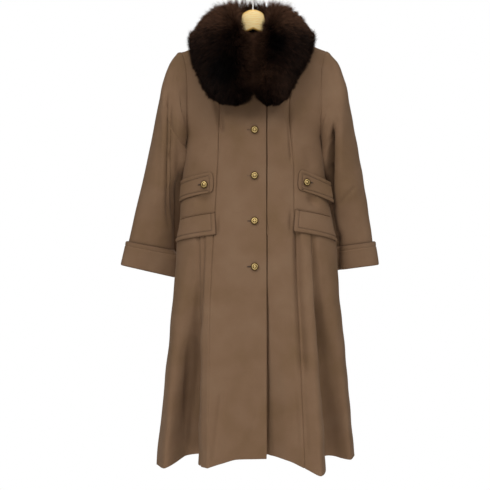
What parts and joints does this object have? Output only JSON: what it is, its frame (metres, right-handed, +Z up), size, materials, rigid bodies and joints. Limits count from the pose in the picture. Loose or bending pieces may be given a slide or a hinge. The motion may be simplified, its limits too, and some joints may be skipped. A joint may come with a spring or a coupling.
{
  "type": "fur trimmed coat on hanger",
  "caption": "Long A-line wool coat with princess seams, slanted pocket flaps, buttoned waist tabs, turned back cuffs and a deep fur collar, hung open at the hem on a flat wooden hanger.",
  "frame": {"origin": "inside top of the hanger's hook, where a rail or wall hook carries it", "axes": "+Z up along the coat's length, -Y out of the coat's front, +X to the wearer's left"},
  "size_m": [0.6767, 0.3245, 1.256],
  "materials": {
    "wool": "brown milled wool with a fine nap",
    "fur": "long dark brown fur, glossy at the tips",
    "button": "gold coloured metal with a darker rim",
    "hanger_wood": "pale varnished wood",
    "hanger_wire": "bright steel wire"
  },
  "bodies": {
    "root": {"front_right": "wool", "front_left": "wool", "side_front_right": "wool", "side_front_left": "wool", "back_right": "wool", "back_left": "wool", "sleeve_right": "wool", "sleeve_left": "wool", "cuff_right": "wool", "cuff_left": "wool", "pocket_flap_right": "wool", "pocket_flap_left": "wool", "tab_right": "wool", "tab_left": "wool", "fur_collar": "fur", "button_front_1": "button", "button_front_2": "button", "button_front_3": "button", "button_front_4": "button", "button_tab_right": "button", "button_tab_left": "button", "hanger_wood": "hanger_wood", "hanger_hook": "hanger_wire"}
  },
  "joints": []
}
